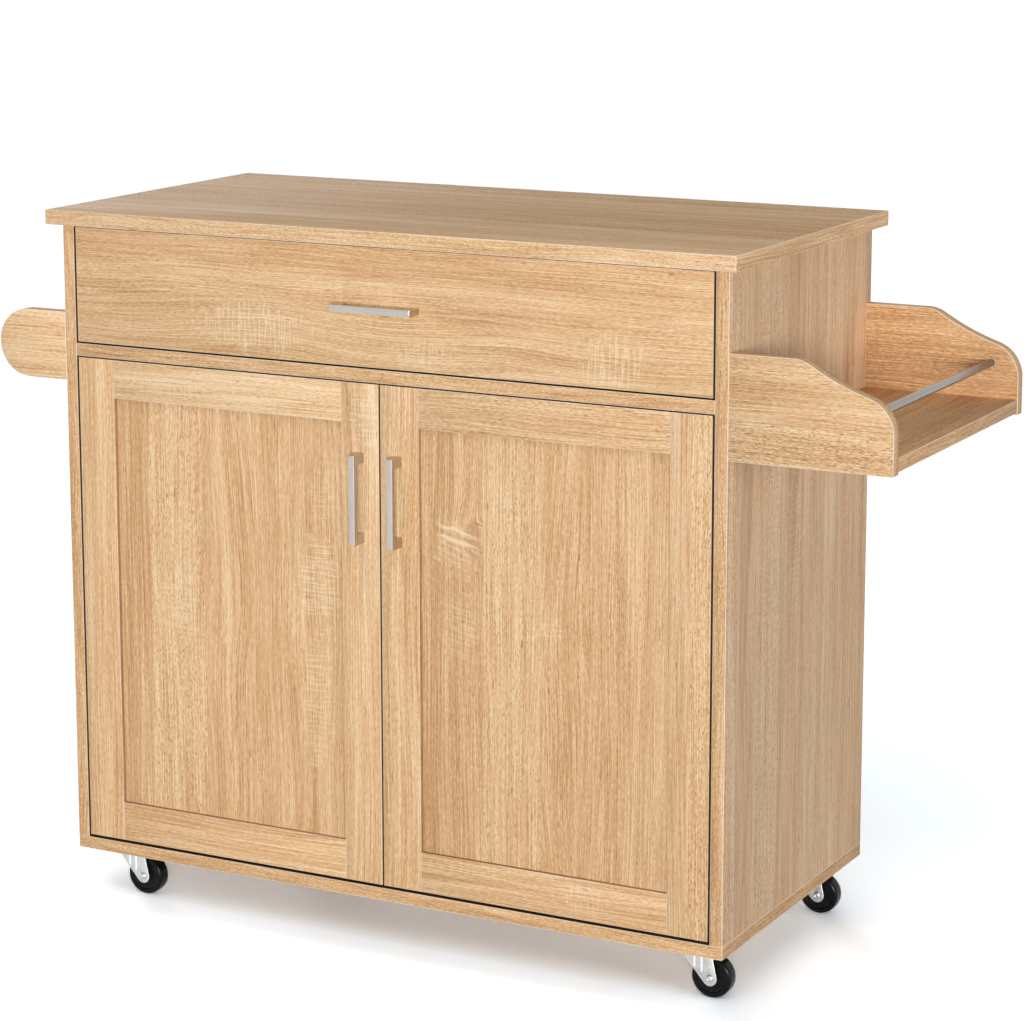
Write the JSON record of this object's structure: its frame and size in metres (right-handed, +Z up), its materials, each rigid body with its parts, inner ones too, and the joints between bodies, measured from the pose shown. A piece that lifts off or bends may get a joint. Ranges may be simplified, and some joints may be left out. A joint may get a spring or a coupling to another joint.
{
  "type": "kitchen cart",
  "caption": "Rolling kitchen cart in pale oak with a drawer over double doors, a spice rack on one side, a towel bar on the other and swivel casters.",
  "frame": {"origin": "on the floor, under the middle of the whole cart from the towel arms' ends to the spice rack's outer edge, midway between the cabinet's front and rear", "axes": "+X to the right, seen from the doors' side; +Y to the rear; +Z up"},
  "size_m": [1.179, 0.464, 0.874],
  "materials": {
    "oak_laminate": "satin honey oak laminate",
    "pale_board": "matt pale laminate",
    "beech": "bare fluted beech",
    "satin_metal": "satin nickel",
    "nickel_steel": "bright nickel plate",
    "zinc_steel": "zinc plated pressed steel",
    "white_plastic": "moulded, with a magnet inside",
    "black_polymer": "glossy black nylon"
  },
  "bodies": {
    "cabinet": {"tabletop": "oak_laminate", "left_panel": "oak_laminate", "right_panel": "oak_laminate", "bottom_board": "oak_laminate", "divider_board": "oak_laminate", "back_panel": "pale_board", "adjustable_shelf": "oak_laminate", "shelf_pins": "zinc_steel", "cam_locks": "zinc_steel", "cam_bolts": "zinc_steel", "end_dowels": "beech", "cabinet_slide_rails": "zinc_steel", "hinge_arms": "nickel_steel", "door_catches": "white_plastic", "rack_front_panel": "oak_laminate", "rack_rear_panel": "oak_laminate", "rack_tray": "oak_laminate", "rack_rail": "satin_metal", "towel_front_arm": "oak_laminate", "towel_rear_arm": "oak_laminate", "towel_bar": "satin_metal", "caster_plates": "zinc_steel", "cabinet_screws": "zinc_steel"},
    "drawer": {"drawer_front": "oak_laminate", "drawer_left_side": "pale_board", "drawer_right_side": "pale_board", "drawer_back": "pale_board", "drawer_bottom": "pale_board", "drawer_handle": "satin_metal", "drawer_slide_rails": "zinc_steel", "drawer_screws": "zinc_steel", "drawer_dowels": "beech"},
    "left_door": {"left_door_outer_stile": "oak_laminate", "left_door_inner_stile": "oak_laminate", "left_door_top_rail": "oak_laminate", "left_door_bottom_rail": "oak_laminate", "left_door_panel": "oak_laminate", "left_door_handle": "satin_metal", "left_door_hinge_cups": "nickel_steel", "left_door_fixings": "zinc_steel"},
    "right_door": {"right_door_outer_stile": "oak_laminate", "right_door_inner_stile": "oak_laminate", "right_door_top_rail": "oak_laminate", "right_door_bottom_rail": "oak_laminate", "right_door_panel": "oak_laminate", "right_door_handle": "satin_metal", "right_door_hinge_cups": "nickel_steel", "right_door_fixings": "zinc_steel"},
    "front_left_caster": {"front_left_fork": "zinc_steel", "front_left_axle": "zinc_steel"},
    "front_left_roller": {"front_left_wheel": "black_polymer"},
    "front_right_caster": {"front_right_fork": "zinc_steel", "front_right_axle": "zinc_steel"},
    "front_right_roller": {"front_right_wheel": "black_polymer"},
    "rear_left_caster": {"rear_left_fork": "zinc_steel", "rear_left_axle": "zinc_steel"},
    "rear_left_roller": {"rear_left_wheel": "black_polymer"},
    "rear_right_caster": {"rear_right_fork": "zinc_steel", "rear_right_axle": "zinc_steel"},
    "rear_right_roller": {"rear_right_wheel": "black_polymer"}
  },
  "joints": [
    {"name": "drawer_slide", "type": "slide", "parent": "cabinet", "child": "drawer", "axis": [0, -1, 0], "range_m": [0, 0.3]},
    {"name": "left_door_hinge", "type": "hinge", "parent": "cabinet", "child": "left_door", "pos_m": [-0.4495, -0.2035, 0.388], "axis": [0, 0, -1], "range_deg": [0, 105]},
    {"name": "right_door_hinge", "type": "hinge", "parent": "cabinet", "child": "right_door", "pos_m": [0.3545, -0.2035, 0.388], "axis": [0, 0, 1], "range_deg": [0, 105]},
    {"name": "front_left_swivel", "type": "hinge", "parent": "cabinet", "child": "front_left_caster", "pos_m": [-0.4395, -0.1625, 0.0577], "axis": [0, 0, 1], "continuous": true},
    {"name": "front_left_spin", "type": "hinge", "parent": "front_left_caster", "child": "front_left_roller", "pos_m": [-0.4205, -0.1625, 0.025], "axis": [0, 1, 0], "continuous": true},
    {"name": "front_right_swivel", "type": "hinge", "parent": "cabinet", "child": "front_right_caster", "pos_m": [0.3445, -0.1625, 0.0577], "axis": [0, 0, 1], "continuous": true},
    {"name": "front_right_spin", "type": "hinge", "parent": "front_right_caster", "child": "front_right_roller", "pos_m": [0.3635, -0.1625, 0.025], "axis": [0, 1, 0], "continuous": true},
    {"name": "rear_left_swivel", "type": "hinge", "parent": "cabinet", "child": "rear_left_caster", "pos_m": [-0.4395, 0.1625, 0.0577], "axis": [0, 0, 1], "continuous": true},
    {"name": "rear_left_spin", "type": "hinge", "parent": "rear_left_caster", "child": "rear_left_roller", "pos_m": [-0.4205, 0.1625, 0.025], "axis": [0, 1, 0], "continuous": true},
    {"name": "rear_right_swivel", "type": "hinge", "parent": "cabinet", "child": "rear_right_caster", "pos_m": [0.3445, 0.1625, 0.0577], "axis": [0, 0, 1], "continuous": true},
    {"name": "rear_right_spin", "type": "hinge", "parent": "rear_right_caster", "child": "rear_right_roller", "pos_m": [0.3635, 0.1625, 0.025], "axis": [0, 1, 0], "continuous": true}
  ]
}
